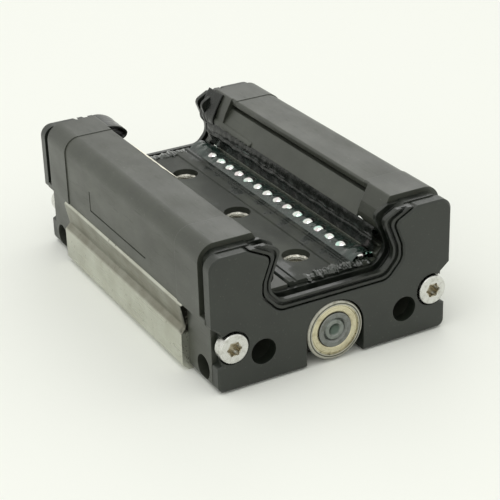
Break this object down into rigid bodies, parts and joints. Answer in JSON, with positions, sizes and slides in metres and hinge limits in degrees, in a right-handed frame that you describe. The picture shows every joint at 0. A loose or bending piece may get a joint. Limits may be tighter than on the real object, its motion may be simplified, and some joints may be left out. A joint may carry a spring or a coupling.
{
  "type": "linear guide carriage",
  "caption": "Low recirculating ball carriage for a profiled guide rail: ground steel U body, plastic covers, end caps, double-lip wipers and a small shielded bearing set into the front end.",
  "frame": {"origin": "middle of the ground mounting face, which the carriage stands on", "axes": "+Z out of the rail channel, Y along the travel with the roller bearing at the -Y end, X across the rail"},
  "size_m": [0.048, 0.072, 0.0261],
  "materials": {
    "ground_steel": "ground, satin",
    "cover_plastic": "moulded, satin black",
    "cap_plastic": "moulded, satin black",
    "plate_plastic": "moulded, fine grain",
    "floor_plastic": "moulded, lightly greased",
    "wiper_rubber": "glossy with grease",
    "strip_rubber": "satin",
    "bar_steel": "rolled",
    "ball_steel": "polished",
    "screw_steel": "zinc plated",
    "ring_steel": "ground and polished",
    "shield_metal": "pressed, light yellow passivation",
    "pin_steel": "turned"
  },
  "bodies": {
    "carriage": {"steel_body": "ground_steel", "left_leg_cover": "cover_plastic", "right_leg_cover": "cover_plastic", "left_seal_strip": "strip_rubber", "right_seal_strip": "strip_rubber", "channel_floor_plate": "floor_plastic", "left_ball_bar": "bar_steel", "right_ball_bar": "bar_steel", "front_end_cap": "cap_plastic", "rear_end_cap": "cap_plastic", "front_turn_guides": "cap_plastic", "rear_turn_guides": "cap_plastic", "front_wiper": "wiper_rubber", "rear_wiper": "wiper_rubber", "front_end_plate": "plate_plastic", "rear_end_plate": "plate_plastic", "left_upper_balls": "ball_steel", "right_upper_balls": "ball_steel", "left_lower_balls": "ball_steel", "right_lower_balls": "ball_steel", "front_left_screw": "screw_steel", "front_right_screw": "screw_steel", "rear_left_screw": "screw_steel", "rear_right_screw": "screw_steel", "bearing_inner_ring": "ring_steel", "bearing_pin": "pin_steel"},
    "roller": {"bearing_outer_ring": "ring_steel", "bearing_front_shield": "shield_metal", "bearing_rear_shield": "shield_metal"},
    "roller_cage": {"bearing_cage": "shield_metal", "bearing_balls": "ball_steel"}
  },
  "joints": [
    {"name": "roller_spin", "type": "hinge", "parent": "carriage", "child": "roller", "pos_m": [0, -0.0335, 0.0059], "axis": [0, -1, 0], "continuous": true},
    {"name": "roller_cage_spin", "type": "hinge", "parent": "carriage", "child": "roller_cage", "pos_m": [0, -0.0335, 0.0059], "axis": [0, -1, 0], "continuous": true}
  ],
  "couplings": [
    {"joint": "roller_cage_spin", "follows": "roller_spin", "ratio": 0.6}
  ]
}
